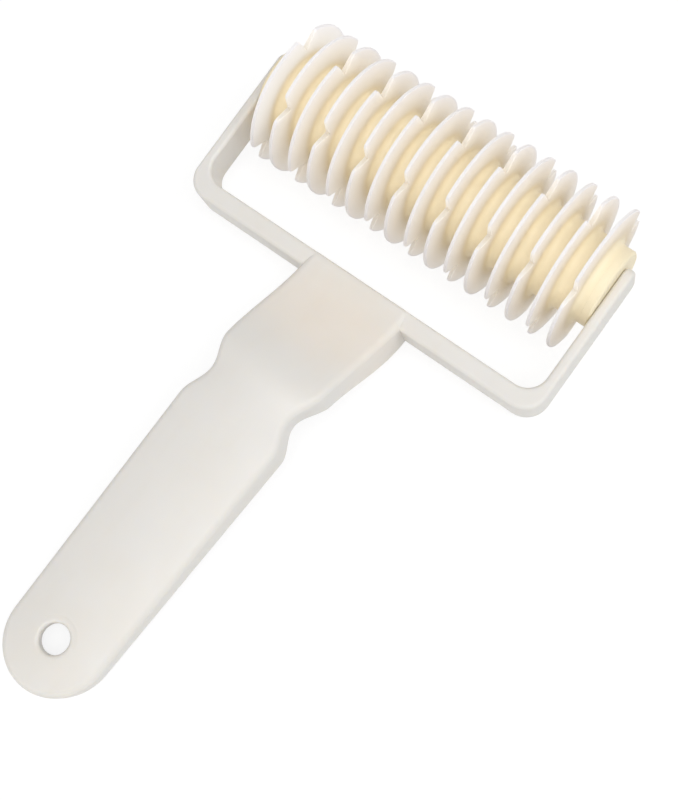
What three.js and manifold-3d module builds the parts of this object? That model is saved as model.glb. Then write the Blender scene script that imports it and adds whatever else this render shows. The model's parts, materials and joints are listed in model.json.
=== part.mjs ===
// A lattice roller cutter: a moulded yoke with a hollow handle, and a roller of notched discs
// that are threaded on a many-sided shaft between the yoke's arms.
//
// Sizes are in millimetres. Every piece is drawn in the yoke's own frame, with X along the
// roller's axis, -Y towards the handle and Z square to the plane of the yoke. The whole tool
// is then turned about X until it lies as it does on a table, on its discs and on the handle's
// end, with Z up and the origin on the table under the middle of its box.

import * as THREE from 'three';
import { mergeVertices } from 'three/addons/utils/BufferGeometryUtils.js';
import Module from 'manifold-3d';

const wasm = await Module();
wasm.setup();

// Yoke: two arms and a cross-bar
const yokeWidth = 121;
const yokeDepth = 12.8;
const armThickness = 3.1;
const armTipReach = 6.7;
const armTipRadius = 2.9;
const barReach = 36.5;
const barWidth = 5.6;
const outerCornerRadius = 7;
const innerCornerRadius = 6.1;
const yokeEdgeChamfer = 0.6;

// Handle: reaches are distances from the roller's axis, heights are above the yoke's mid-plane
const handleLength = 172.7;
const flareWidth = 34.4;
const neckWidth = 31.7;
const endWidth = 29;
const handleWall = 2.4;
const handleEdgeRadius = 2.4;
const cavityEdgeRadius = 0.8;
const crownHeight = 1.4;
const flareSetback = 0.4;
const flareLead = 2;
const flareTopLength = 39.5;
const gripTopHeight = 28;
const endTopHeight = 38.2;
const flareRimLength = 31.9;
const gripRimHeight = 15;
const endRimHeight = 33;
const scallopOffset = 43.7;
const scallopLength = 20.5;
const scallopDepth = 2.8;
const scallopRise = 3.6;
const hangHoleDiameter = 7.9;

// Roller: discs with hubs, threaded on the shaft
const discCount = 16;
const discDiameter = 43.6;
const hubDiameter = 24.2;
const collarThickness = 2.46;
const collarChamfer = 1.6;
const bladeRootThickness = 1.9;
const bladeRimThickness = 1.1;
const notchesPerDisc = 3;
const notchWidth = 7.6;
const notchDepth = 5.2;
const notchLipDepth = 0.9;
const notchLipFlare = 0.7;
const rollerRestTurnDegrees = 1;

// Shaft
const shaftAcrossFlats = 8;
const journalDiameter = 5.6;
const journalLength = 2;

// Fits
const stackClearance = 0.3;
const shaftClearance = 0.3;
const journalClearance = 0.3;
const endPlay = 0.3;
const cutOverrun = 1;
const weldTolerance = 1e-5;
const slopeStep = 0.01;

// Facet counts
const discFacets = 36;
const roundFacets = 24;
const cornerFacets = 6;
const edgeFacets = 2;
const endFacets = 12;
const flareStations = 8;
const scallopStations = 8;
const gripStations = 3;
const crownShares = [0.5, 1];

const halfYoke = yokeDepth / 2;
const discRadius = discDiameter / 2;
const hubRadius = hubDiameter / 2;
const endRadius = endWidth / 2;
const endCentreReach = handleLength - endRadius;
const barBackReach = barReach + barWidth;
const gripTopReach = barReach + flareTopLength;
const gripRimReach = barBackReach + flareRimLength;
const scallopReach = barReach + scallopOffset;
const armInnerX = yokeWidth / 2 - armThickness;
const collarOuterX = armInnerX - endPlay;
const discPitch = 2 * (collarOuterX - collarThickness) / discCount;
const shaftSides = 2 * notchesPerDisc;
const socketDepth = journalLength - endPlay + journalClearance;

function plastic(colour, roughness) {
  return new THREE.MeshStandardMaterial({ color: colour, roughness, metalness: 0 });
}

const finishes = {
  yoke: plastic(0xe4dfd8, 0.42),
  disc: plastic(0xeee4d2, 0.38),
  collar: plastic(0xe9dcc4, 0.4),
  shaft: plastic(0xe2d6bf, 0.45),
};

function solidOf(geometry) {
  const bare = geometry.clone();
  bare.deleteAttribute('normal');
  bare.deleteAttribute('uv');
  const merged = mergeVertices(bare, weldTolerance);
  const corners = merged.index.array;
  const kept = [];
  for (let i = 0; i < corners.length; i += 3) {
    const [a, b, c] = corners.subarray(i, i + 3);
    if (a !== b && b !== c && c !== a) kept.push(a, b, c);
  }
  const triVerts = new Uint32Array(kept);
  const vertProperties = new Float32Array(merged.attributes.position.array);
  return new wasm.Manifold(new wasm.Mesh({ numProp: 3, vertProperties, triVerts }));
}

function geometryOf(solid) {
  const mesh = solid.getMesh();
  const geometry = new THREE.BufferGeometry();
  geometry.setAttribute('position', new THREE.BufferAttribute(mesh.vertProperties, 3));
  geometry.setIndex(new THREE.BufferAttribute(mesh.triVerts, 1));
  const flat = geometry.toNonIndexed();
  flat.computeVertexNormals();
  return flat;
}

function piece(name, geometry, material) {
  const mesh = new THREE.Mesh(geometry, material.clone());
  mesh.name = name;
  return mesh;
}

// A prism of a flat outline, drawn in Y and Z and running along X between two places
function prismAlongX(shape, fromX, toX) {
  const geometry = new THREE.ExtrudeGeometry(shape, {
    depth: toX - fromX, bevelEnabled: false, curveSegments: cornerFacets,
  });
  const axes = new THREE.Matrix4().makeBasis(
    new THREE.Vector3(0, 1, 0), new THREE.Vector3(0, 0, 1), new THREE.Vector3(1, 0, 0));
  return geometry.applyMatrix4(axes).translate(fromX, 0, 0);
}

function roundAlongX(radius, fromX, toX) {
  const geometry = new THREE.CylinderGeometry(radius, radius, toX - fromX, roundFacets);
  return geometry.rotateZ(Math.PI / 2).translate((fromX + toX) / 2, 0, 0);
}

// The yoke's plan: a U that opens towards +Y, with round corners
function yokePlan() {
  const outer = yokeWidth / 2;
  const quarter = Math.PI / 2;
  const pastTip = armTipReach + cutOverrun;
  const plan = new THREE.Shape();
  plan.moveTo(-armInnerX, pastTip);
  plan.lineTo(-outer, pastTip);
  plan.absarc(-outer + outerCornerRadius, -barBackReach + outerCornerRadius,
    outerCornerRadius, 2 * quarter, 3 * quarter, false);
  plan.absarc(outer - outerCornerRadius, -barBackReach + outerCornerRadius,
    outerCornerRadius, -quarter, 0, false);
  plan.lineTo(outer, pastTip);
  plan.lineTo(armInnerX, pastTip);
  plan.absarc(armInnerX - innerCornerRadius, -barReach + innerCornerRadius,
    innerCornerRadius, 0, -quarter, true);
  plan.absarc(-armInnerX + innerCornerRadius, -barReach + innerCornerRadius,
    innerCornerRadius, 3 * quarter, 2 * quarter, true);
  return plan;
}

// The yoke's side view, which rounds the tips of the arms
function yokeSide() {
  const back = -barBackReach - cutOverrun;
  const outside = halfYoke + cutOverrun;
  const roundStart = armTipReach - armTipRadius;
  const roundCentre = halfYoke - armTipRadius;
  const side = new THREE.Shape();
  side.moveTo(back, -outside);
  side.lineTo(roundStart, -outside);
  side.lineTo(roundStart, -halfYoke);
  side.absarc(roundStart, -roundCentre, armTipRadius, -Math.PI / 2, 0, false);
  side.absarc(roundStart, roundCentre, armTipRadius, 0, Math.PI / 2, false);
  side.lineTo(roundStart, outside);
  side.lineTo(back, outside);
  return side;
}

function yokeFrame() {
  const plate = new THREE.ExtrudeGeometry(yokePlan(), {
    depth: yokeDepth - 2 * yokeEdgeChamfer,
    bevelThickness: yokeEdgeChamfer,
    bevelSize: yokeEdgeChamfer,
    bevelOffset: -yokeEdgeChamfer,
    bevelSegments: 1,
    curveSegments: cornerFacets,
  }).translate(0, 0, -halfYoke + yokeEdgeChamfer);
  const side = prismAlongX(yokeSide(), -yokeWidth, yokeWidth);
  return solidOf(plate).intersect(solidOf(side));
}

// The handle's height lines: each leaves the yoke's own level, climbs, and joins a straight grip
function gripLine(reach, startReach, startHeight, endHeight) {
  return THREE.MathUtils.mapLinear(reach, startReach, handleLength, startHeight, endHeight);
}

// How much of the finger scallop is there: all of it in the middle, none past its ends
function scallopShare(reach) {
  const away = Math.min(Math.abs(reach - scallopReach) / (scallopLength / 2), 1);
  return (1 + Math.cos(Math.PI * away)) / 2;
}

function topRise(reach) {
  return THREE.MathUtils.smoothstep(reach, barReach - flareLead, gripTopReach);
}

function topHeight(reach) {
  const grip = gripLine(reach, gripTopReach, gripTopHeight, endTopHeight);
  return THREE.MathUtils.lerp(halfYoke, grip, topRise(reach));
}

function rimHeight(reach) {
  const grip = gripLine(reach, gripRimReach, gripRimHeight, endRimHeight);
  const rise = THREE.MathUtils.smoothstep(reach, barBackReach, gripRimReach);
  return THREE.MathUtils.lerp(-halfYoke, grip, rise) + scallopRise * scallopShare(reach);
}

// Half the handle's width: it narrows steadily, with a finger scallop at the neck
function halfWidth(reach) {
  const flare = THREE.MathUtils.mapLinear(reach, barReach, scallopReach, flareWidth, neckWidth) / 2;
  const grip = THREE.MathUtils.mapLinear(reach, scallopReach, endCentreReach, neckWidth, endWidth) / 2;
  return (reach < scallopReach ? flare : grip) - scallopDepth * scallopShare(reach);
}

function stations(from, to, count) {
  return Array.from({ length: count }, (_, i) => THREE.MathUtils.lerp(from, to, i / count));
}

// Half of the handle's plan outline, from its front corner to the tip, with outward normals
function sidePath(frontReach) {
  const scallopStart = scallopReach - scallopLength / 2;
  const scallopEnd = scallopReach + scallopLength / 2;
  const reaches = [
    ...stations(frontReach, scallopStart, flareStations),
    ...stations(scallopStart, scallopEnd, scallopStations),
    ...stations(scallopEnd, endCentreReach, gripStations),
  ];
  const side = reaches.map((reach, i) => {
    const change = halfWidth(reach + slopeStep) - halfWidth(reach - slopeStep);
    const slope = i === 0 ? 0 : change / (2 * slopeStep);
    const across = new THREE.Vector2(1, slope).normalize();
    return { x: halfWidth(reach), reach, across: across.x, along: -across.y };
  });
  const end = Array.from({ length: endFacets / 2 + 1 }, (_, i) => {
    const turn = Math.PI * i / endFacets;
    const across = Math.cos(turn);
    const along = Math.sin(turn);
    return { x: endRadius * across, reach: endCentreReach + endRadius * along, across, along };
  });
  return [...side, ...end];
}

// The whole outline as a ring of points: down the left side, round the end and up the right
function outlineRing(frontReach, inset, height) {
  const half = sidePath(frontReach).map((p) => {
    const reach = p.reach - p.along * inset;
    return new THREE.Vector3(p.x - p.across * inset, -reach, height(reach));
  });
  const left = half.map((p) => new THREE.Vector3(-p.x, p.y, p.z));
  const tip = left.pop();
  tip.x = 0;
  half.pop();
  return [...left, tip, ...half.reverse()];
}

// The same ring drawn in towards the handle's centre line, and raised by its share of the crown
function crownRing(edge, share, lift) {
  return edge.map((p) => {
    const spineReach = Math.min(-p.y, endCentreReach);
    const reach = THREE.MathUtils.lerp(-p.y, spineReach, share);
    const crown = crownHeight * topRise(reach) * (1 - (1 - share) ** 2);
    return new THREE.Vector3(p.x * (1 - share), -reach, topHeight(reach) + crown + lift);
  });
}

function pushTriangle(corners, a, b, c) {
  for (const p of [a, b, c]) corners.push(p.x, p.y, p.z);
}

// Closes a stack of rings: sides and top between them, the floor under them, and the front
function bodyOfRings(rings) {
  const corners = [];
  const last = rings[0].length - 1;
  for (let k = 0; k + 1 < rings.length; k += 1) {
    for (let i = 0; i < last; i += 1) {
      pushTriangle(corners, rings[k][i], rings[k][i + 1], rings[k + 1][i + 1]);
      pushTriangle(corners, rings[k][i], rings[k + 1][i + 1], rings[k + 1][i]);
    }
  }
  const floor = rings[0];
  for (let i = 0; i < last / 2; i += 1) {
    pushTriangle(corners, floor[i], floor[last - i], floor[last - i - 1]);
    pushTriangle(corners, floor[i], floor[last - i - 1], floor[i + 1]);
  }
  const front = [...rings.map((ring) => ring[0]), ...rings.slice(0, -1).reverse().map((ring) => ring[last])];
  for (let i = 1; i + 1 < front.length; i += 1) pushTriangle(corners, front[0], front[i], front[i + 1]);
  const geometry = new THREE.BufferGeometry();
  geometry.setAttribute('position', new THREE.Float32BufferAttribute(corners, 3));
  return geometry;
}

// The handle's outer form, or the hollow inside it, which is inset, lowered and open below
function handleForm({ frontReach, inset, lift, floor, edgeRadius }) {
  const rings = [outlineRing(frontReach, inset, (reach) => rimHeight(reach) + floor)];
  for (let i = 0; i <= edgeFacets; i += 1) {
    const turn = Math.PI / 2 * i / edgeFacets;
    const drop = edgeRadius * (1 - Math.sin(turn));
    const draw = edgeRadius * (1 - Math.cos(turn));
    rings.push(outlineRing(frontReach, inset + draw, (reach) => topHeight(reach) + lift - drop));
  }
  const edge = rings[rings.length - 1];
  for (const share of crownShares) rings.push(crownRing(edge, share, lift));
  return solidOf(bodyOfRings(rings));
}

function hangHole() {
  const radius = hangHoleDiameter / 2;
  const height = endTopHeight + crownHeight + cutOverrun;
  const hole = new THREE.CylinderGeometry(radius, radius, height, roundFacets).rotateX(Math.PI / 2);
  return solidOf(hole.translate(0, -endCentreReach, height / 2));
}

function journalSocket(side) {
  const radius = journalDiameter / 2 + journalClearance;
  const inner = side * (armInnerX - cutOverrun);
  const outer = side * (armInnerX + socketDepth);
  return solidOf(roundAlongX(radius, Math.min(inner, outer), Math.max(inner, outer)));
}

function handleYoke() {
  const outside = handleForm({
    frontReach: barReach + flareSetback, inset: 0, lift: 0, floor: 0, edgeRadius: handleEdgeRadius,
  });
  const hollow = handleForm({
    frontReach: barBackReach, inset: handleWall, lift: -handleWall, floor: -cutOverrun,
    edgeRadius: cavityEdgeRadius,
  });
  const moulding = yokeFrame().add(outside).subtract(hollow).subtract(hangHole())
    .subtract(journalSocket(-1)).subtract(journalSocket(1));
  return piece('handle_yoke', geometryOf(moulding), finishes.yoke);
}

// The shaft's section: two flats for each notch, so that a disc fits at every half step
function shaftSection(acrossFlats) {
  const step = 2 * Math.PI / shaftSides;
  const radius = acrossFlats / 2 / Math.cos(step / 2);
  const corners = Array.from({ length: shaftSides }, (_, i) => {
    return new THREE.Vector2(radius * Math.cos(step * i), radius * Math.sin(step * i));
  });
  return new THREE.Shape(corners);
}

function shaftBore(halfLength) {
  const section = shaftSection(shaftAcrossFlats + 2 * shaftClearance);
  return solidOf(prismAlongX(section, -halfLength - cutOverrun, halfLength + cutOverrun));
}

// A V-shaped notch with flared lips that points at the axis; at no turn it faces +Y
function notch(turn) {
  const lip = discRadius - notchLipDepth;
  const halfLip = notchWidth / 2 * (1 - notchLipDepth / notchDepth);
  const lipSlope = (notchWidth / 2 + notchLipFlare - halfLip) / notchLipDepth;
  const past = discRadius + cutOverrun;
  const halfPast = halfLip + lipSlope * (past - lip);
  const halfCut = Math.max(bladeRootThickness, bladeRimThickness) / 2 + cutOverrun;
  const shape = new THREE.Shape([
    new THREE.Vector2(discRadius - notchDepth, 0),
    new THREE.Vector2(lip, halfLip),
    new THREE.Vector2(past, halfPast),
    new THREE.Vector2(past, -halfPast),
    new THREE.Vector2(lip, -halfLip),
  ]);
  return solidOf(prismAlongX(shape, -halfCut, halfCut).rotateX(turn));
}

// One disc: a tapered blade in the middle of its hub, lying round the origin
function discSolid() {
  const halfHub = (discPitch - stackClearance) / 2;
  const profile = [
    new THREE.Vector2(0, -halfHub),
    new THREE.Vector2(hubRadius, -halfHub),
    new THREE.Vector2(hubRadius, -bladeRootThickness / 2),
    new THREE.Vector2(discRadius, -bladeRimThickness / 2),
    new THREE.Vector2(discRadius, bladeRimThickness / 2),
    new THREE.Vector2(hubRadius, bladeRootThickness / 2),
    new THREE.Vector2(hubRadius, halfHub),
    new THREE.Vector2(0, halfHub),
  ];
  const turned = new THREE.LatheGeometry(profile, discFacets).rotateZ(-Math.PI / 2);
  let disc = solidOf(turned).subtract(shaftBore(halfHub));
  for (let i = 0; i < notchesPerDisc; i += 1) {
    disc = disc.subtract(notch(2 * Math.PI * i / notchesPerDisc));
  }
  return disc;
}

// The discs along the shaft: every other one is turned by half the step between its notches
function discs() {
  const geometry = geometryOf(discSolid());
  return Array.from({ length: discCount }, (_, i) => {
    const mesh = piece(`cutter_disc_${String(i + 1).padStart(2, '0')}`, geometry.clone(), finishes.disc);
    mesh.position.x = (i - (discCount - 1) / 2) * discPitch;
    mesh.rotation.x = i % 2 === 0 ? Math.PI / notchesPerDisc : 0;
    return mesh;
  });
}

// A plain end to the row of hubs, chamfered where it faces the arm
function endCollar(name, side) {
  const half = (collarThickness - stackClearance / 2) / 2;
  const profile = [
    new THREE.Vector2(0, -half),
    new THREE.Vector2(hubRadius, -half),
    new THREE.Vector2(hubRadius, half - collarChamfer),
    new THREE.Vector2(hubRadius - collarChamfer, half),
    new THREE.Vector2(0, half),
  ];
  const turned = new THREE.LatheGeometry(profile, discFacets).rotateZ(-side * Math.PI / 2);
  const ring = solidOf(turned).subtract(shaftBore(half));
  const mesh = piece(name, geometryOf(ring), finishes.collar);
  mesh.position.x = side * (collarOuterX - half);
  return mesh;
}

function shaft() {
  const journalHalf = collarOuterX + journalLength;
  const bar = solidOf(prismAlongX(shaftSection(shaftAcrossFlats), -collarOuterX, collarOuterX));
  const journals = solidOf(roundAlongX(journalDiameter / 2, -journalHalf, journalHalf));
  return piece('roller_shaft', geometryOf(bar.add(journals)), finishes.shaft);
}

function roller() {
  const group = new THREE.Group();
  group.add(shaft(), endCollar('end_collar_left', -1), endCollar('end_collar_right', 1), ...discs());
  group.rotation.x = THREE.MathUtils.degToRad(rollerRestTurnDegrees);
  return group;
}

// The turn about X that lays the discs' rims and the handle's lower end on one level
function restTilt() {
  const tipDistance = Math.hypot(handleLength, endRimHeight);
  return Math.atan2(-handleLength, endRimHeight) + Math.acos(-discRadius / tipDistance);
}

function restingTool() {
  const tool = new THREE.Group();
  tool.add(handleYoke(), roller());
  tool.rotation.x = restTilt();
  tool.updateMatrixWorld(true);
  const box = new THREE.Box3().setFromObject(tool, true);
  const middle = box.getCenter(new THREE.Vector3());
  tool.position.set(-middle.x, -middle.y, -box.min.z);
  const stand = new THREE.Group();
  stand.add(tool);
  stand.updateMatrixWorld(true);
  return stand;
}

export default restingTool();
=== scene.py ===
"""Looks of a lattice roller cutter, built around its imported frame.

A U-shaped yoke with an arched, hollow handle carries a freely turning roller of notched
discs. Every piece is drawn in the yoke's own frame in millimetres: X runs along the
roller's axis, a reach runs from that axis towards the handle's end, which is -Y, and a
height is above the yoke's mid-plane. A finished piece is then laid on the table in metres.
"""

import json
import logging
import math
from collections.abc import Callable, Sequence
from dataclasses import dataclass
from enum import Enum
from functools import cached_property

import bmesh
import bpy
from mathutils import Matrix, Vector


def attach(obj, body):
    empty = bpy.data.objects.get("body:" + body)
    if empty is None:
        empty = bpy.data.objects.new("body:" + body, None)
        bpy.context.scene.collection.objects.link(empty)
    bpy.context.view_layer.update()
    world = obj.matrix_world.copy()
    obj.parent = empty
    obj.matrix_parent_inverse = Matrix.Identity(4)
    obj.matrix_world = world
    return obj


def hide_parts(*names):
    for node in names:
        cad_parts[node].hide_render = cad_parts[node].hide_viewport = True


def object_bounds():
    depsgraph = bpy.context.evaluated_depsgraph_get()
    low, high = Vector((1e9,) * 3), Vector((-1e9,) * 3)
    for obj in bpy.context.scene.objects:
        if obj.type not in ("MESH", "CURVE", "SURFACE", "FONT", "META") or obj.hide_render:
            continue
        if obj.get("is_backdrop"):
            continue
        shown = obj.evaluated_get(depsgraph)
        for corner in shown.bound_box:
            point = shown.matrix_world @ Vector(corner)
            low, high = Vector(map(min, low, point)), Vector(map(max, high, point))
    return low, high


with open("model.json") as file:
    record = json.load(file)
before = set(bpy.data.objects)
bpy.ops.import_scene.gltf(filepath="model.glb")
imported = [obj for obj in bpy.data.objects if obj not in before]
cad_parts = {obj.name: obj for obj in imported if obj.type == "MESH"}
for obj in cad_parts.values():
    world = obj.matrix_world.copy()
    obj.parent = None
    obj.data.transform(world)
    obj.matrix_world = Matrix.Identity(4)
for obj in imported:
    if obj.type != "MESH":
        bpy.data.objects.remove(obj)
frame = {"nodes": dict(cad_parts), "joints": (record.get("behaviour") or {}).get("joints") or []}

LOG = logging.getLogger("lattice_roller")
METRES_PER_MM = 0.001
WELD = 1e-4
SLOPE_STEP = 1e-4
FULL_TURN = 2 * math.pi
HALF_TURN = math.pi
QUARTER_TURN = math.pi / 2
NOISE_MIDDLE = 0.5
LARGE_FACES_FIRST = 100
ALONG_AXIS = Vector((1.0, 0.0, 0.0))
ROUND_AXIS = Vector((0.0, 1.0, 1.0))
UPWARDS = Vector((0.0, 0.0, 1.0))
WHITE = (1.0, 1.0, 1.0, 1.0)
EVEN = (1.0, 1.0, 1.0)
DRAWN_OUT = (1.0, 0.06, 1.0)

Point = tuple[float, float]
Spot = tuple[float, float, float]
Colour = tuple[int, int, int]
Tone = tuple[float, float, float, float]
Place = Callable[[int, int], Vector]


class Body(Enum):
    """The moving bodies that the pieces ride on."""

    HANDLE = "handle"
    ROLLER = "roller"


class Slot(Enum):
    """The record's material slots."""

    YOKE = "yoke_plastic"
    DISC = "disc_plastic"
    SHAFT = "shaft_plastic"


class Cut(Enum):
    """How one solid is combined with another."""

    JOIN = "UNION"
    TAKE_AWAY = "DIFFERENCE"


class Rounded(Enum):
    """What a bevel rounds."""

    CORNERS = "VERTICES"
    EDGES = "EDGES"


class Side(Enum):
    """The two ends of the roller, with the sign of X there."""

    LEFT = -1
    RIGHT = 1


def linear(colour: Colour) -> Tone:
    """Turns a display colour into the linear one that a shader's socket takes.

    Args:
        colour: Red, green and blue, each from 0 to 255.

    Returns:
        Linear red, green and blue, by the sRGB curve, with an alpha of 1.
    """
    shown = [value / 255 for value in colour]
    made = [s / 12.92 if s <= 0.04045 else ((s + 0.055) / 1.055) ** 2.4 for s in shown]
    return (made[0], made[1], made[2], 1.0)


def lerp(start: float, end: float, share: float) -> float:
    """Goes from start to end by a share."""
    return start + (end - start) * share


def along(value: float, low: float, high: float, start: float, end: float) -> float:
    """Carries a value from the span low to high over to the span start to end."""
    return lerp(start, end, (value - low) / (high - low))


def smooth_step(value: float, low: float, high: float) -> float:
    """Rises smoothly from 0 at low to 1 at high."""
    share = min(max((value - low) / (high - low), 0.0), 1.0)
    return share * share * (3 - 2 * share)


def soft_min(first: float, second: float, softness: float) -> float:
    """The lower of two values, with the corner between them rounded."""
    return (first + second - math.hypot(first - second, softness)) / 2


def shares(count: int) -> list[float]:
    """Even shares after 0, up to and with 1."""
    return [(i + 1) / count for i in range(count)]


def quarter(count: int) -> list[float]:
    """The angles of a quarter turn in even steps, with both of its ends."""
    return [QUARTER_TURN * i / count for i in range(count + 1)]


def sheet(columns: int, rows: int, place: Place) -> bmesh.types.BMesh:
    """Bends a flat grid into a surface and welds the edges that meet.

    Args:
        columns: How many faces the grid has across.
        rows: How many faces it has up.
        place: Gives the place of the point at a column and a row.

    Returns:
        The bent surface.
    """
    mesh = bmesh.new()
    bmesh.ops.create_grid(mesh, x_segments=columns, y_segments=rows, size=1.0)
    for vertex in mesh.verts:
        column = round((vertex.co.x + 1) / 2 * columns)
        row = round((vertex.co.y + 1) / 2 * rows)
        vertex.co = place(column, row)
    bmesh.ops.remove_doubles(mesh, verts=mesh.verts, dist=WELD)
    return mesh


def spun(profile: Sequence[Vector], axis: Vector, sectors: Sequence[tuple[float, int]],
         closed: bool) -> bmesh.types.BMesh:
    """Turns a profile all the way round an axis through the origin.

    Args:
        profile: The profile's points, in order.
        axis: The axis to turn it round.
        sectors: Each sector's angle and its number of steps, together one full turn.
        closed: Whether the profile's last point is joined to its first.

    Returns:
        The turned surface.
    """
    mesh = bmesh.new()
    points = [mesh.verts.new(point) for point in profile]
    ends = points[1:] + (points[:1] if closed else [])
    last = points + [mesh.edges.new(pair) for pair in zip(points, ends)]
    for angle, steps in sectors:
        turned = bmesh.ops.spin(mesh, geom=last, cent=(0.0, 0.0, 0.0), axis=axis, angle=angle, steps=steps,
                                use_merge=len(sectors) == 1, use_normal_flip=False, use_duplicate=False)
        last = turned["geom_last"]
    bmesh.ops.remove_doubles(mesh, verts=mesh.verts, dist=WELD)
    bmesh.ops.recalc_face_normals(mesh, faces=mesh.faces)
    return mesh


def close_shape(mesh: bmesh.types.BMesh) -> None:
    """Fills what is still open in a surface and turns all its faces outwards.

    Args:
        mesh: The surface.
    """
    rim = [edge for edge in mesh.edges if edge.is_boundary]
    if rim:
        filled = bmesh.ops.holes_fill(mesh, edges=rim, sides=0)
        bmesh.ops.triangulate(mesh, faces=filled["faces"])
    bmesh.ops.recalc_face_normals(mesh, faces=mesh.faces)


def object_of(mesh: bmesh.types.BMesh, name: str) -> bpy.types.Object:
    """Makes an object of a shape and frees the shape.

    Args:
        mesh: The shape.
        name: The object's name.

    Returns:
        The object, linked to the scene.
    """
    data = bpy.data.meshes.new(name)
    mesh.to_mesh(data)
    mesh.free()
    made = bpy.data.objects.new(name, data)
    bpy.context.scene.collection.objects.link(made)
    return made


def combine(target: bpy.types.Object, tool: bpy.types.Object, cut: Cut) -> None:
    """Joins a solid to another, or takes it away, and removes the tool.

    Args:
        target: The solid that stays.
        tool: The solid that is joined to it or cuts it.
        cut: Which of the two is done.
    """
    step = target.modifiers.new("combine", "BOOLEAN")
    step.operation = cut.value
    step.object = tool
    step.solver = "EXACT"
    bpy.context.view_layer.update()
    depsgraph = bpy.context.evaluated_depsgraph_get()
    made = bpy.data.meshes.new_from_object(target.evaluated_get(depsgraph))
    target.modifiers.clear()
    target.data = made
    bpy.data.objects.remove(tool)


def soften(piece: bpy.types.Object, crease: float) -> None:
    """Shades a piece smoothly, with its large faces flat and its creases kept.

    Args:
        piece: The piece to shade.
        crease: The angle in degrees past which an edge stays sharp.
    """
    piece.data.shade_smooth()
    piece.data.set_sharp_from_angle(angle=math.radians(crease))
    weighted = piece.modifiers.new("even_shading", "WEIGHTED_NORMAL")
    weighted.keep_sharp = True
    weighted.weight = LARGE_FACES_FIRST


@dataclass(frozen=True)
class Stance:
    """How the tool lies on the table: on its discs and on the handle's end."""

    axis: Vector
    tilt: float

    @classmethod
    def at_rest(cls, reach: float, height: float, radius: float) -> "Stance":
        """Finds the turn that lays the discs and the handle's end on one level.

        Args:
            reach: How far the handle's end is from the roller's axis.
            height: How high its rim is above the yoke's mid-plane.
            radius: The discs' radius.

        Returns:
            The stance, with the roller's axis where the frame has it.
        """
        spin = frame["joints"][0]
        tilt = math.atan2(-reach, height) + math.acos(-radius / math.hypot(reach, height))
        return cls(Vector(spin["pos_m"]), tilt)

    def matrix(self, offset: float = 0.0, turn: float = 0.0) -> Matrix:
        """Carries a shape in millimetres from the yoke's frame to its place on the table.

        Args:
            offset: How far along the roller's axis the shape goes first.
            turn: How far it is turned about that axis, in radians.

        Returns:
            The matrix that does all of it.
        """
        scaled = Matrix.Scale(METRES_PER_MM, 4)
        turned = Matrix.Rotation(self.tilt + turn, 4, "X")
        moved = Matrix.Translation(ALONG_AXIS * offset)
        return Matrix.Translation(self.axis) @ scaled @ turned @ moved


@dataclass(frozen=True)
class Pattern:
    """An uneven pattern: its waves in a metre, its finer layers and its strength.

    Where it is read as patches, they begin at the value start and are full at full. The
    stretch scales X, Y and Z, and a small one draws the pattern out that way.
    """

    waves: float
    layers: float
    strength: float
    start: float = 0.0
    full: float = 1.0
    stretch: Spot = EVEN


class Wire:
    """A shader socket that adds Math nodes when it is used in an expression."""

    def __init__(self, bench: "Bench", socket: bpy.types.NodeSocket) -> None:
        """Keeps the socket and the tree that it is in."""
        self.bench = bench
        self.socket = socket

    def _math(self, operation: str, first: "Wire | float", second: "Wire | float") -> "Wire":
        """Adds one Math node."""
        return self.bench.out("ShaderNodeMath", 0, {"operation": operation}, {0: first, 1: second})

    def __add__(self, other: "Wire | float") -> "Wire":
        """Adds a value or a wire."""
        return self._math("ADD", self, other)

    __radd__ = __add__

    def __sub__(self, other: "Wire | float") -> "Wire":
        """Takes a value or a wire away."""
        return self._math("SUBTRACT", self, other)

    def __rsub__(self, other: float) -> "Wire":
        """Takes the wire away from a value."""
        return self._math("SUBTRACT", other, self)

    def __mul__(self, other: "Wire | float") -> "Wire":
        """Multiplies by a value or a wire."""
        return self._math("MULTIPLY", self, other)

    __rmul__ = __mul__

    def __or__(self, other: "Wire | float") -> "Wire":
        """Takes the higher of the wire and a value or a wire."""
        return self._math("MAXIMUM", self, other)

    __ror__ = __or__

    def eased(self, low: float, high: float) -> "Wire":
        """Rises smoothly from 0 at low to 1 at high."""
        span = {"Value": self, "From Min": low, "From Max": high}
        return self.bench.out("ShaderNodeMapRange", 0, {"interpolation_type": "SMOOTHSTEP"}, span)


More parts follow.
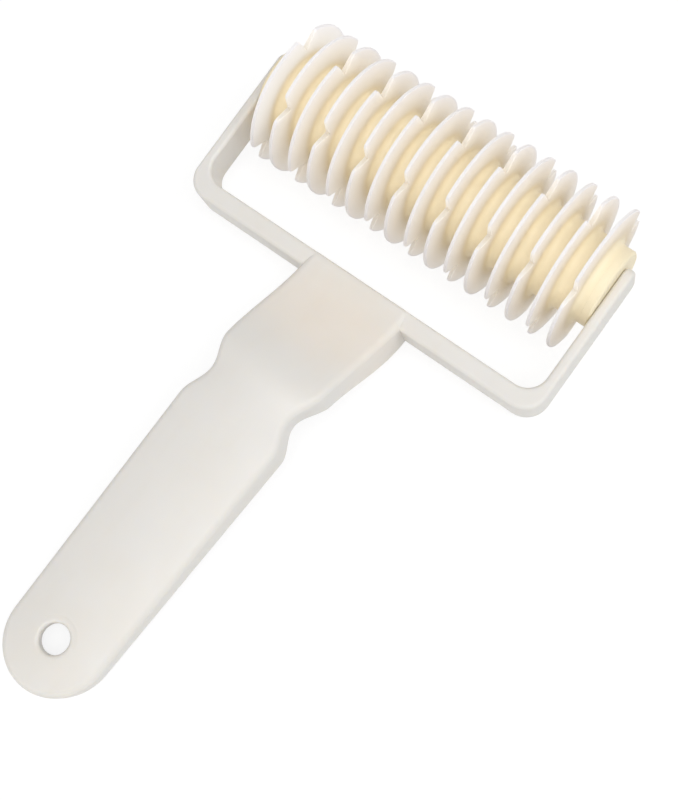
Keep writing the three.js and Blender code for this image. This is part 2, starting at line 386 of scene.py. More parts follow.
class Bench:
    """One material's node tree, and the one way in which its nodes are made."""

    def __init__(self, tree: bpy.types.NodeTree) -> None:
        """Empties the tree."""
        self.tree = tree
        self.tree.nodes.clear()

    def node(self, kind: str, settings: dict[str, object] | None = None,
             inputs: dict[str | int, object] | None = None) -> bpy.types.Node:
        """Adds a node.

        Args:
            kind: The node's type.
            settings: What is set on the node itself, first of all.
            inputs: A value or a wire for each socket, by its name or number.

        Returns:
            The node.
        """
        made = self.tree.nodes.new(kind)
        for name, value in (settings or {}).items():
            setattr(made, name, value)
        for key, value in (inputs or {}).items():
            if isinstance(value, Wire):
                self.tree.links.new(value.socket, made.inputs[key])
            else:
                made.inputs[key].default_value = value
        return made

    def out(self, kind: str, output: str | int, settings: dict[str, object] | None = None,
            inputs: dict[str | int, object] | None = None) -> Wire:
        """Adds a node and gives the wire from one of its outputs."""
        return Wire(self, self.node(kind, settings, inputs).outputs[output])

    @cached_property
    def place(self) -> Wire:
        """The place on the piece, in metres from the tool's origin."""
        return self.out("ShaderNodeTexCoord", "Object")

    def mix(self, factor: Wire | float, first: object, second: object) -> Wire:
        """Blends two colours by a factor."""
        inputs = {"Factor": factor, 6: first, 7: second}
        return self.out("ShaderNodeMix", 2, {"data_type": "RGBA"}, inputs)

    def blend(self, factor: Wire, first: Wire, second: Wire) -> Wire:
        """Blends two surfaces by a factor."""
        return self.out("ShaderNodeMixShader", 0, None, {0: factor, 1: first, 2: second})

    def times(self, first: object, second: object) -> Wire:
        """Multiplies two vectors or colours, each part by its own."""
        return self.out("ShaderNodeVectorMath", 0, {"operation": "MULTIPLY"}, {0: first, 1: second})

    def distance(self, centre: Vector, weights: Vector) -> Wire:
        """How far the place is from a centre.

        Args:
            centre: The centre, in metres.
            weights: How much X, Y and Z count.

        Returns:
            The distance in millimetres.
        """
        inputs = {"Vector": self.place, "Location": centre}
        moved = self.out("ShaderNodeMapping", 0, {"vector_type": "TEXTURE"}, inputs)
        weighted = self.times(moved, weights)
        length = self.out("ShaderNodeVectorMath", "Value", {"operation": "LENGTH"}, {0: weighted})
        return length * (1 / METRES_PER_MM)

    def noise(self, pattern: Pattern) -> Wire:
        """Gives a pattern's values on the piece.

        Args:
            pattern: The pattern.

        Returns:
            The values, which lie round the middle of noise.
        """
        place = self.out("ShaderNodeMapping", 0, None, {"Vector": self.place, "Scale": pattern.stretch})
        inputs = {"Vector": place, "Scale": pattern.waves, "Detail": pattern.layers}
        return self.out("ShaderNodeTexNoise", 0, None, inputs)

    def patches(self, pattern: Pattern) -> Wire:
        """Gives soft patches of the pattern's strength, with nought between them."""
        return self.noise(pattern).eased(pattern.start, pattern.full) * pattern.strength

    def swing(self, pattern: Pattern) -> Wire:
        """Gives values that swing about nought by the pattern's strength."""
        return (self.noise(pattern) - NOISE_MIDDLE) * pattern.strength

    def seen(self) -> Wire:
        """Tells the rays that show a background from those that light the tool.

        Returns:
            One for the rays of the camera, of gloss and of glass, and nought for the rest.
        """
        rays = self.node("ShaderNodeLightPath").outputs
        mirrored = Wire(self, rays["Is Glossy Ray"]) | Wire(self, rays["Is Transmission Ray"])
        return Wire(self, rays["Is Camera Ray"]) | mirrored


@dataclass(frozen=True, kw_only=True)
class Plastic:
    """A satin, slightly see-through moulded plastic, whose tint its kinds work out."""

    name: str
    roughness: float
    glow: float
    glow_depth: float
    grain: float
    grain_height: float = 0.06
    refraction: float = 1.49
    glow_spread: Spot = (1.0, 0.85, 0.62)
    cloud_shade: Spot = (0.975, 0.955, 0.915)
    clouds: Pattern = Pattern(waves=38.0, layers=3.0, strength=0.5, start=0.42, full=0.75)
    flow_lines: Pattern = Pattern(waves=240.0, layers=2.0, strength=0.25, start=0.5, full=0.8,
                                  stretch=DRAWN_OUT)
    dull_patches: Pattern = Pattern(waves=70.0, layers=2.0, strength=0.10)
    rubbed_lines: Pattern = Pattern(waves=900.0, layers=2.0, strength=0.08, stretch=DRAWN_OUT)
    mould_grain: Pattern = Pattern(waves=2600.0, layers=2.0, strength=0.25)
    wall_waves: Pattern = Pattern(waves=90.0, layers=1.0, strength=1.0)

    def material(self) -> bpy.types.Material:
        """Builds the plastic's nodes.

        Returns:
            The material.
        """
        made = bpy.data.materials.new(self.name)
        made.use_nodes = True
        bench = Bench(made.node_tree)
        shader = bench.out("ShaderNodeBsdfPrincipled", 0, None, {
            "Base Color": self.clouded(bench, self.tint(bench)),
            "Roughness": self.sheen(bench),
            "Normal": self.moulded(bench),
            "IOR": self.refraction,
            "Subsurface Weight": self.glow,
            "Subsurface Radius": self.glow_spread,
            "Subsurface Scale": self.glow_depth * METRES_PER_MM,
        })
        bench.node("ShaderNodeOutputMaterial", None, {"Surface": self.lit_through(bench, shader)})
        return made

    def tint(self, bench: Bench) -> Wire:
        """The plastic's colour before its clouds."""
        raise NotImplementedError

    def lit_through(self, bench: Bench, shader: Wire) -> Wire:
        """The whole surface, which for a thick wall is the shader alone."""
        return shader

    def clouded(self, bench: Bench, tint: Wire) -> Wire:
        """Lays faint clouds and flow lines of the melt over a tint, a little warmer and darker."""
        cloud = bench.patches(self.clouds) + bench.patches(self.flow_lines)
        return bench.mix(cloud, tint, bench.times(tint, self.cloud_shade))

    def sheen(self, bench: Bench) -> Wire:
        """The roughness: uneven patches, and fine rubbed lines along the tool."""
        return bench.swing(self.dull_patches) + bench.swing(self.rubbed_lines) + self.roughness

    def moulded(self, bench: Bench) -> Wire:
        """The fine grain of the mould, over the slow waves of a moulded wall."""
        height = bench.swing(self.mould_grain) + bench.swing(self.wall_waves)
        return bench.out("ShaderNodeBump", 0, None, {
            "Strength": self.grain, "Distance": self.grain_height * METRES_PER_MM, "Height": height})


@dataclass(frozen=True, kw_only=True)
class SatinMoulding(Plastic):
    """The thick-walled plastic, a little warmer round one place than elsewhere: on the yoke, painted warm
    light reflected from the roller.
    """

    pale: Colour
    # On the yoke, warm and its centre paint warm light reflected from the roller onto the handle's flare.
    warm: Colour
    centre: Vector
    weights: Vector
    warm_reach: float
    pale_reach: float

    def tint(self, bench: Bench) -> Wire:
        """Runs from warm round the centre to pale; on the yoke the warm part is painted light reflected
        from the roller.
        """
        share = bench.distance(self.centre, self.weights).eased(self.warm_reach, self.pale_reach)
        return bench.mix(share, linear(self.warm), linear(self.pale))


@dataclass(frozen=True, kw_only=True)
class MilkyBlade(Plastic):
    """The discs' plastic: warm on the thick hub, milky and lit through on the thin blade.

    The hub's deep warm tone is partly the plastic's own and partly a painted glow of light scattered and
    bounced in the grooves. The cooler tip and rim are painted light, the white light that comes through the
    thin edge.
    """

    # hub is partly the plastic's own tone and partly painted glow of light bounced in the grooves; tip and
    # rim are painted light through the thin edge.
    hub: Colour
    face: Colour
    tip: Colour
    rim: Colour
    through: Colour
    axis: Vector
    hub_reach: float
    foot_reach: float
    face_reach: float
    tip_start: float
    rim_start: float
    rim_end: float
    see_through: float
    hub_share: float
    rim_share: float
    uneven_borders: Pattern = Pattern(waves=60.0, layers=1.0, strength=1.6)

    def tint(self, bench: Bench) -> Wire:
        """Runs from the hub's warm tone over the face's to the cooler tip's and the rim's.

        The hub's warmth is partly painted glow of light bounced in the grooves, and the cool tip and rim
        are painted light that comes through the thin edge.

        Args:
            bench: Where the nodes are added.

        Returns:
            The colour.
        """
        away = bench.distance(self.axis, ROUND_AXIS)
        uneven = away + bench.swing(self.uneven_borders)
        face = bench.mix(uneven.eased(self.hub_reach, self.face_reach), linear(self.hub), linear(self.face))
        outer = bench.mix(uneven.eased(self.tip_start, self.rim_start), face, linear(self.tip))
        return bench.mix(away.eased(self.rim_start, self.rim_end), outer, linear(self.rim))

    def lit_through(self, bench: Bench, shader: Wire) -> Wire:
        """Lets the blade pass on the light that falls on its other side.

        Args:
            bench: Where the nodes are added.
            shader: The plastic's surface as the light that falls on it shows it.

        Returns:
            That surface with the light that comes through the blade.
        """
        away = bench.distance(self.axis, ROUND_AXIS)
        blade = away.eased(self.hub_reach, self.foot_reach) * (1 - self.hub_share) + self.hub_share
        rim = 1 - away.eased(self.rim_start, self.rim_end) * (1 - self.rim_share)
        through = bench.out("ShaderNodeBsdfTranslucent", 0, None, {"Color": linear(self.through)})
        return bench.blend(blade * rim * self.see_through, shader, through)


@dataclass(frozen=True)
class EdgePoint:
    """A point of the handle's plan outline, and the outward direction there."""

    x: float
    reach: float
    across: float
    along: float


@dataclass(frozen=True, kw_only=True)
class Skin:
    """One face of the handle's wall, the outer one or the hollow's.

    The inset and the lift are measured from the outer face. The rim's rounding runs inwards
    from this face where rim_sign is 1, and outwards where it is -1.
    """

    inset: float
    lift: float
    rim_sign: int
    radius: float
    wall_shares: tuple[float, ...]
    round_steps: int
    top_steps: int


@dataclass
class HandleYoke:
    """The one moulding that is the yoke's two arms, its cross-bar and the hollow handle."""

    stance: Stance
    yoke_width: float = 121.0
    yoke_depth: float = 12.8
    arm_thickness: float = 3.1
    arm_tip_reach: float = 6.7
    arm_tip_radius: float = 2.9
    bar_reach: float = 36.5
    bar_width: float = 5.6
    outer_corner: float = 7.0
    inner_corner: float = 6.1
    edge_round: float = 1.1
    length: float = 172.6
    flare_width: float = 34.4
    neck_width: float = 31.7
    end_width: float = 29.0
    wall: float = 2.4
    shoulder: float = 2.4
    hollow_round: float = 0.8
    hollow_lap: float = 0.25
    rim_round: float = 0.6
    crown: float = 1.4
    flare_lead: float = 2.0
    flare_top_length: float = 39.5
    grip_top: float = 28.0
    end_top: float = 38.2
    flare_rim_length: float = 31.9
    grip_rim: float = 15.0
    end_rim: float = 33.0
    scallop_offset: float = 43.7
    scallop_length: float = 20.5
    scallop_depth: float = 2.8
    scallop_rise: float = 3.6
    hidden_rise: float = 1.0
    hang_hole: float = 7.9
    hang_lip: float = 1.1
    socket_radius: float = 3.1
    socket_depth: float = 2.0
    overrun: float = 1.0
    sunk: float = 0.02
    sharp_angle: float = math.radians(45.0)
    crease: float = 38.0
    corner_steps: int = 16
    lead_steps: int = 5
    flare_steps: int = 36
    scallop_steps: int = 40
    grip_steps: int = 30
    end_steps: int = 28
    round_steps: int = 6
    rim_steps: int = 3
    outer_top_steps: int = 8
    inner_top_steps: int = 6
    outer_wall_shares: tuple[float, ...] = (0.25, 0.5, 0.75)
    inner_wall_shares: tuple[float, ...] = (0.33, 0.67)

    @property
    def half_depth(self) -> float:
        """Half of the yoke's depth."""
        return self.yoke_depth / 2

    @property
    def bar_back(self) -> float:
        """The reach of the cross-bar's back face."""
        return self.bar_reach + self.bar_width

    @property
    def end_centre(self) -> float:
        """The reach of the centre of the round end."""
        return self.length - self.end_width / 2

    @property
    def arm_inner(self) -> float:
        """How far an arm's inner face is from the middle."""
        return self.yoke_width / 2 - self.arm_thickness

    @property
    def neck(self) -> float:
        """The reach of the neck, the middle of the finger scallops."""
        return self.bar_reach + self.scallop_offset

    @property
    def outer_skin(self) -> Skin:
        """The wall's outer face."""
        return Skin(inset=0.0, lift=0.0, rim_sign=1, radius=self.shoulder,
                    wall_shares=self.outer_wall_shares, round_steps=self.round_steps,
                    top_steps=self.outer_top_steps)

    @property
    def inner_skin(self) -> Skin:
        """The wall's face in the hollow."""
        return Skin(inset=self.wall, lift=-self.wall, rim_sign=-1, radius=self.hollow_round,
                    wall_shares=self.inner_wall_shares, round_steps=self.rim_steps,
                    top_steps=self.inner_top_steps)

    def scallop_share(self, reach: float) -> float:
        """How much of the finger scallop is there."""
        away = min(abs(reach - self.neck) / (self.scallop_length / 2), 1.0)
        return (1 + math.cos(HALF_TURN * away)) / 2

    def top_rise(self, reach: float) -> float:
        """How far the top has climbed from the bar to the grip."""
        grip = self.bar_reach + self.flare_top_length
        return smooth_step(reach, self.bar_reach - self.flare_lead, grip)

    def top(self, reach: float) -> float:
        """The height of the top along the handle, without its crown.

        Args:
            reach: The distance from the roller's axis.

        Returns:
            The height, which drops round the bar's front edge.
        """
        start = self.bar_reach + self.flare_top_length
        grip = along(reach, start, self.length, self.grip_top, self.end_top)
        into_round = self.bar_reach + self.edge_round - reach
        drop = 0.0
        if into_round > 0:
            drop = self.edge_round - math.sqrt(max(self.edge_round ** 2 - into_round ** 2, 0.0))
        return lerp(self.half_depth, grip, self.top_rise(reach)) - drop

    def rim(self, reach: float) -> float:
        """The height of the rim along the handle.

        Args:
            reach: The distance from the roller's axis.

        Returns:
            The height, a little raised at the scallop and inside the cross-bar.
        """
        start = self.bar_back + self.flare_rim_length
        grip = along(reach, start, self.length, self.grip_rim, self.end_rim)
        level = lerp(-self.half_depth, grip, smooth_step(reach, self.bar_back, start))
        hidden = self.hidden_rise * max(self.bar_back - reach, 0.0) / self.bar_width
        return level + self.scallop_rise * self.scallop_share(reach) + hidden

    def half_width(self, reach: float) -> float:
        """Half of the handle's width.

        Args:
            reach: The distance from the roller's axis.

        Returns:
            The width's half, drawn in at the scallop.
        """
        flare = along(reach, self.bar_reach, self.neck, self.flare_width, self.neck_width)
        grip = along(reach, self.neck, self.end_centre, self.neck_width, self.end_width)
        width = flare if reach < self.neck else grip
        return width / 2 - self.scallop_depth * self.scallop_share(reach)

    def half_path(self, front: float) -> list[EdgePoint]:
        """Goes down one side of the plan outline, from its front to the tip.

        Args:
            front: The reach of the front corner.

        Returns:
            The points, each with the outward direction.
        """
        scallop_start = self.neck - self.scallop_length / 2
        scallop_end = self.neck + self.scallop_length / 2
        spans = [
            (front + self.edge_round, scallop_start, self.flare_steps),
            (scallop_start, scallop_end, self.scallop_steps),
            (scallop_end, self.end_centre, self.grip_steps),
        ]
        reaches = [front + self.edge_round * (1 - math.cos(turn)) for turn in quarter(self.lead_steps)[:-1]]
        for start, end, count in spans:
            reaches += [lerp(start, end, i / count) for i in range(count)]
        path = [self._side_point(reach) for reach in reaches]
        radius = self.end_width / 2
        for turn in quarter(self.end_steps):
            across = math.cos(turn)
            onward = math.sin(turn)
            path.append(EdgePoint(radius * across, self.end_centre + radius * onward, across, onward))
        return path

    def _side_point(self, reach: float) -> EdgePoint:
        """One point of the side, with the direction that its slope gives.

        Args:
            reach: The distance from the roller's axis.

        Returns:
            The point.
        """
        climb = self.half_width(reach + SLOPE_STEP) - self.half_width(reach - SLOPE_STEP)
        direction = Vector((1.0, -climb / (2 * SLOPE_STEP))).normalized()
        return EdgePoint(self.half_width(reach), reach, direction.x, direction.y)

    def side(self, point: EdgePoint, inset: float, height: Callable[[float], float]) -> Vector:
        """A point drawn in from the outline, at a height that depends on its own reach."""
        reach = point.reach - point.along * inset
        return Vector((point.x - point.across * inset, -reach, height(reach)))

    def _crown_half(self, reach: float) -> float:
        """Half the width over which the crown bulges."""
        return self.half_width(min(reach, self.end_centre)) - self.shoulder

    def _crown_slope(self, reach: float) -> float:
        """The angle at which the crown meets the shoulder."""
        return math.atan(2 * self.crown * self.top_rise(reach) / self._crown_half(reach))

    def crown_point(self, point: EdgePoint, skin: Skin, share: float) -> Vector:
        """A point of the crowned top.

        Args:
            point: The point of the outline that it is drawn in from.
            skin: The face that it is on.
            share: How far it is on the way from the shoulder to the handle's middle line.

        Returns:
            The point.
        """
        inset = skin.inset + skin.radius * (1 - math.sin(self._crown_slope(point.reach)))
        begin = self.side(point, inset, self.top)
        spine = min(-begin.y, self.end_centre)
        reach = lerp(-begin.y, spine, share)
        x = begin.x * (1 - share)
        away = math.hypot(x, reach - spine) if -begin.y > self.end_centre else x
        bulge = self.crown * self.top_rise(reach) * (1 - (away / self._crown_half(reach)) ** 2)
        return Vector((x, -reach, self.top(reach) + bulge + skin.lift))

    def shoulder_point(self, point: EdgePoint, skin: Skin, share: float) -> Vector:
        """A point of the round shoulder, which runs into the crown without a crease.

        Args:
            point: The point of the outline that it is drawn in from.
            skin: The face that it is on.
            share: How far round it is, from the wall to the crown.

        Returns:
            The point.
        """
        slope = self._crown_slope(point.reach)
        turn = (QUARTER_TURN - slope) * share
        last = self.crown_point(point, skin, 0.0)
        centre = last.z - skin.radius * math.cos(slope)
        placed = self.side(point, skin.inset + skin.radius * (1 - math.cos(turn)), self.top)
        placed.z += centre - self.top(-last.y) + skin.radius * math.sin(turn)
        return placed

    def wall_point(self, point: EdgePoint, skin: Skin, share: float) -> Vector:
        """A point of the wall, a share of the way from the rim to the shoulder."""
        low = self.side(point, skin.inset, lambda reach: self.rim(reach) + self.rim_round)
        return low.lerp(self.shoulder_point(point, skin, 0.0), share)

    def rows(self, skin: Skin) -> list[Callable[[EdgePoint], Vector]]:
        """The rows of a skin, from the rim up the wall and over to the middle line.

        Args:
            skin: The face of the wall.

        Returns:
            For each row, what carries a point of the outline to it.
        """
        made = []
        for turn in quarter(self.rim_steps):
            inset = skin.inset + skin.rim_sign * self.rim_round * (1 - math.sin(turn))
            rise = self.rim_round * (1 - math.cos(turn))
            made.append(lambda p, n=inset, r=rise: self.side(p, n, lambda reach: self.rim(reach) + r))
        for share in skin.wall_shares:
            made.append(lambda p, s=share: self.wall_point(p, skin, s))
        for share in (0.0, *shares(skin.round_steps)):
            made.append(lambda p, s=share: self.shoulder_point(p, skin, s))
        for share in shares(skin.top_steps):
            made.append(lambda p, s=share: self.crown_point(p, skin, s))
        return made

    def handle_shell(self) -> bmesh.types.BMesh:
        """The hollow handle as one closed wall, from the skin round the rim to the hollow.

        Returns:
            The closed shape.
        """
        outer = self.half_path(self.bar_reach + self.sunk)
        inner = self.half_path(self.bar_back - self.hollow_lap)
        rows = [(outer, row) for row in reversed(self.rows(self.outer_skin))]
        rows += [(inner, row) for row in self.rows(self.inner_skin)]
        last = len(outer) - 1

        def place(column: int, row: int) -> Vector:
            """The point of one side, or its mirror on the other.

            Args:
                column: Counts round the outline, over the tip in the middle.
                row: Counts from the outer middle line to the hollow's.

            Returns:
                The point.
            """
            path, shape = rows[row]
            point = shape(path[min(column, 2 * last - column)])
            if column == last:
                point.x = 0.0
            return Vector((point.x if column > last else -point.x, point.y, point.z))

        shell = sheet(2 * last, len(rows) - 1, place)
        close_shape(shell)
        return shell

    def yoke_frame(self) -> bmesh.types.BMesh:
        """The two arms and the cross-bar, with round corners, tips and edges.

        Returns:
            The closed shape.
        """
        outer = self.yoke_width / 2
        tip = self.arm_tip_reach
        plan = [(-self.arm_inner, tip), (-outer, tip), (-outer, -self.bar_back), (outer, -self.bar_back),
                (outer, tip), (self.arm_inner, tip), (self.arm_inner, -self.bar_reach),
                (-self.arm_inner, -self.bar_reach)]
        mesh = bmesh.new()
        corners = [mesh.verts.new((x, y, -self.half_depth)) for x, y in plan]
        mesh.faces.new(corners)
        for picked, radius in ((corners[2:4], self.outer_corner), (corners[6:8], self.inner_corner)):
            self._bevel(mesh, picked, radius, self.corner_steps, Rounded.CORNERS)
        grown = bmesh.ops.extrude_face_region(mesh, geom=mesh.faces[:])["geom"]
        raised = [part for part in grown if isinstance(part, bmesh.types.BMVert)]
        bmesh.ops.translate(mesh, verts=raised, vec=UPWARDS * self.yoke_depth)
        bmesh.ops.recalc_face_normals(mesh, faces=mesh.faces)
        tips = [edge for edge in mesh.edges
                if all(abs(v.co.y - tip) < WELD for v in edge.verts)
                and abs(edge.verts[0].co.z - edge.verts[1].co.z) < WELD]
        self._bevel(mesh, tips, self.arm_tip_radius, self.corner_steps // 2, Rounded.EDGES)
        sharp = [edge for edge in mesh.edges if edge.calc_face_angle(0.0) > self.sharp_angle]
        self._bevel(mesh, sharp, self.edge_round, self.round_steps, Rounded.EDGES)
        bmesh.ops.recalc_face_normals(mesh, faces=mesh.faces)
        return mesh

    @staticmethod
    def _bevel(mesh: bmesh.types.BMesh, parts: Sequence, radius: float, steps: int, what: Rounded) -> None:
        """Rounds edges or corners."""
        bmesh.ops.bevel(mesh, geom=list(parts), offset=radius, segments=steps, profile=0.5,
                        affect=what.value, clamp_overlap=False, material=-1)

    def hole_cutter(self) -> bmesh.types.BMesh:
        """The hanging hole, whose lip rounds into the crowned top all the way round.

        Returns:
            The closed shape that cuts it.
        """
        radius = self.hang_hole / 2
        wide = radius + self.hang_lip
        low = -self.wall - self.overrun
        profile = [(0.0, low), (radius, low), (radius, -self.hang_lip)]
        for turn in quarter(self.round_steps)[1:]:
            profile.append((wide - self.hang_lip * math.cos(turn), -self.hang_lip * (1 - math.sin(turn))))
        wide += self.overrun
        profile += [(wide, self.sunk), (wide, self.overrun), (0.0, self.overrun)]
        cutter = spun([Vector((away, 0.0, height)) for away, height in profile], UPWARDS,
                      [(FULL_TURN, 4 * self.corner_steps)], closed=False)
        for vertex in cutter.verts:
            away = math.hypot(vertex.co.x, vertex.co.y)
            vertex.co.y -= self.end_centre
            bulge = self.crown * (1 - (away / self._crown_half(self.end_centre)) ** 2)
            vertex.co.z += self.top(-vertex.co.y) + bulge
        close_shape(cutter)
        return cutter

    def socket_cutter(self, side: Side) -> bmesh.types.BMesh:
        """The blind hole in an arm that a journal turns in.

        Args:
            side: The arm's side.

        Returns:
            The closed shape that cuts it.
        """
        mesh = bmesh.new()
        radius = self.socket_radius
        middle = side.value * (self.arm_inner + (self.socket_depth - self.overrun) / 2)
        placed = Matrix.Translation(ALONG_AXIS * middle) @ Matrix.Rotation(QUARTER_TURN, 4, "Y")
        bmesh.ops.create_cone(mesh, cap_ends=True, segments=4 * self.corner_steps, radius1=radius,
                              radius2=radius, depth=self.socket_depth + self.overrun, matrix=placed)
        return mesh

    def build(self, finish: bpy.types.Material) -> bpy.types.Object:
        """Joins the yoke and the handle, cuts the holes and lays the moulding on the table.

        Args:
            finish: The moulding's material.

        Returns:
            The finished piece.
        """
        piece = object_of(self.yoke_frame(), "moulded_yoke_and_handle")
        combine(piece, object_of(self.handle_shell(), "shell"), Cut.JOIN)
        combine(piece, object_of(self.hole_cutter(), "hole"), Cut.TAKE_AWAY)
        for side in Side:
            combine(piece, object_of(self.socket_cutter(side), "socket"), Cut.TAKE_AWAY)
        piece.data.transform(self.stance.matrix())
        piece.data.materials.clear()
        piece.data.materials.append(finish)
        soften(piece, self.crease)
        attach(piece, Body.HANDLE.value)
        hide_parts("handle_yoke")
        return piece


@dataclass
class Roller:
    """The discs with their hubs and the two end collars, threaded on the six-sided shaft."""

    stance: Stance
    disc_count: int = 16
    disc_radius: float = 21.79
    hub_radius: float = 12.1
    pitch: float = 6.83
    seam: float = 0.01
    collar_thickness: float = 2.67
    collar_outer: float = 57.32
    collar_chamfer: float = 0.7
    chamfer_fullness: float = 0.3
    root_half: float = 0.95
    edge_half: float = 0.44
    root_fillet: float = 1.6
    edge_round: float = 0.14
    notches: int = 3
    notch_width: float = 7.6
    notch_depth: float = 5.2
    lip_depth: float = 0.9
    lip_flare: float = 0.7
    corner_softness: float = 0.12
    apex_softness: float = 0.006
    bore_apothem: float = 4.3
    bore_sides: int = 6
    rest_turn: float = math.radians(1.0)
    notch_turn: float = math.radians(16.0)
    crease: float = 50.0
    notch_steps: int = 30
    lobe_steps: int = 36
    fillet_steps: int = 7
    edge_steps: int = 3
    chamfer_steps: int = 8
    collar_steps: int = 120
    blade_shares: tuple[float, ...] = (0.16, 0.34, 0.52, 0.7, 0.86, 1.0)

    @property
    def third(self) -> float:
        """The angle from one notch to the next."""
        return FULL_TURN / self.notches

    @property
    def root(self) -> float:
        """How far out the fillet at the blade's foot ends."""
        return self.hub_radius + self.root_fillet

    @property
    def rounding(self) -> float:
        """How far out the rounding of the blade's edge begins."""
        return self.disc_radius - self.edge_round

    def bore(self, angle: float) -> float:
        """How far the six-sided bore is from the axis in a direction."""
        step = FULL_TURN / self.bore_sides
        return self.bore_apothem / math.cos(angle % step - step / 2)

    def blade_reach(self, angle: float) -> float:
        """How far out the blade's edge is in a direction.

        Args:
            angle: The direction round the axis, from the middle of a notch.

        Returns:
            The distance from the axis, less at a notch, with the notch's corners softened.
        """
        away = min(abs((angle + self.third / 2) % self.third - self.third / 2), self.notch_turn)
        away = math.hypot(away, self.apex_softness) - self.apex_softness
        lip_half = self.notch_width / 2 * (1 - self.lip_depth / self.notch_depth)
        wall_slope = (self.notch_depth - self.lip_depth) / lip_half
        lip_slope = self.lip_depth / (self.notch_width / 2 + self.lip_flare - lip_half)
        wall_foot = self.disc_radius - self.notch_depth
        lip_foot = self.disc_radius - self.lip_depth - lip_slope * lip_half
        wall = wall_foot / (math.cos(away) - wall_slope * math.sin(away))
        lip = lip_foot / (math.cos(away) - lip_slope * math.sin(away))
        notch = soft_min(wall, lip, self.corner_softness)
        return soft_min(notch, self.disc_radius, self.corner_softness)

    def blade_half(self, radius: float) -> float:
        """Half of the blade's thickness at a distance from the axis."""
        return along(radius, self.hub_radius, self.disc_radius, self.root_half, self.edge_half)

    def section(self) -> list[Point]:
        """Half of a whole disc's section, from the bore over the hub and up the blade.

        Returns:
            Places along the axis and out from it.
        """
        half = (self.pitch - self.seam) / 2
        rows = [(half, self.bore_apothem), (half, self.hub_radius)]
        for turn in quarter(self.fillet_steps):
            rows.append((self.blade_half(self.root) + self.root_fillet * (1 - math.sin(turn)),
                         self.root - self.root_fillet * math.cos(turn)))
        for share in self.blade_shares:
            radius = lerp(self.root, self.rounding, share)
            rows.append((self.blade_half(radius), radius))
        for turn in quarter(self.edge_steps)[1:]:
            radius = self.rounding + self.edge_round * math.sin(turn)
            rows.append((self.blade_half(radius) - self.edge_round * (1 - math.cos(turn)), radius))
        return rows

    def disc(self) -> bmesh.types.BMesh:
        """One disc with its hub and bore: a turned section, drawn in at its three notches.

        Returns:
            The closed shape.
        """
        half = self.section()
        notch = (self.notch_turn, self.notch_steps)
        lobe = (self.third - 2 * self.notch_turn, self.lobe_steps)
        loop = half + [(-x, radius) for x, radius in reversed(half)]
        return self._turned(loop, [notch, lobe, notch] * self.notches)

    def collar(self, side: Side) -> bmesh.types.BMesh:
        """A plain end to the row of hubs, with a rounded chamfer on the side of the arm.

        Args:
            side: The side that the arm is on.

        Returns:
            The closed shape.
        """
        half = self.collar_thickness / 2
        cut = self.collar_chamfer
        profile = [(-half, self.bore_apothem), (-half, self.hub_radius)]
        for turn in quarter(self.chamfer_steps):
            share = turn / QUARTER_TURN
            flat = Vector((half - cut * (1 - share), self.hub_radius - cut * share))
            full = Vector((half - cut * (1 - math.sin(turn)), self.hub_radius - cut * (1 - math.cos(turn))))
            spot = flat.lerp(full, self.chamfer_fullness)
            profile.append((spot.x, spot.y))
        profile.append((half, self.bore_apothem))
        loop = [(side.value * x, radius) for x, radius in profile]
        return self._turned(loop, [(FULL_TURN, self.collar_steps)])

    def _turned(self, loop: list[Point], sectors: list[tuple[float, int]]) -> bmesh.types.BMesh:
        """Turns a closed profile round the roller's axis and shapes its bore and notches.

        Args:
            loop: Places along the axis and out from it.
            sectors: Each sector's angle and its number of steps.

        Returns:
            The closed shape.
        """
        mesh = spun([Vector((x, radius, 0.0)) for x, radius in loop], ALONG_AXIS, sectors, closed=True)
        for vertex in mesh.verts:
            self._draw_in(vertex)
        bmesh.ops.recalc_face_normals(mesh, faces=mesh.faces)
        return mesh

    def _draw_in(self, vertex: bmesh.types.BMVert) -> None:
        """Moves a vertex of the blade in towards a notch, or one of the bore to its flats.

        Args:
            vertex: The vertex, on the turned section.
        """
        radius = math.hypot(vertex.co.y, vertex.co.z)
        angle = math.atan2(vertex.co.z, vertex.co.y)
        if radius < self.bore_apothem + WELD:
            made = self.bore(angle)
        elif radius > self.root:
            edge = self.blade_reach(angle) - self.edge_round
            made = along(min(radius, self.rounding), self.root, self.rounding, self.root, edge)
            made += max(radius - self.rounding, 0.0)
            vertex.co.x *= self.blade_half(made) / self.blade_half(radius)
        else:
            return
        vertex.co.y *= made / radius
        vertex.co.z *= made / radius

    def _finish_piece(self, piece: bpy.types.Object, node: str, finish: bpy.types.Material,
                      offset: float, turn: float) -> bpy.types.Object:
        """Places a piece of the roller, dresses it and lets it ride on the roller.

        Args:
            piece: The piece, drawn round the axis in millimetres.
            node: The node that it replaces.
            finish: Its material.
            offset: How far along the axis it goes.
            turn: How far it is turned about the axis, in radians.

        Returns:
            The same piece.
        """
        piece.data.transform(self.stance.matrix(offset, turn + self.rest_turn))
        piece.data.materials.append(finish)
        soften(piece, self.crease)
        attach(piece, Body.ROLLER.value)
        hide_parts(node)
        return piece

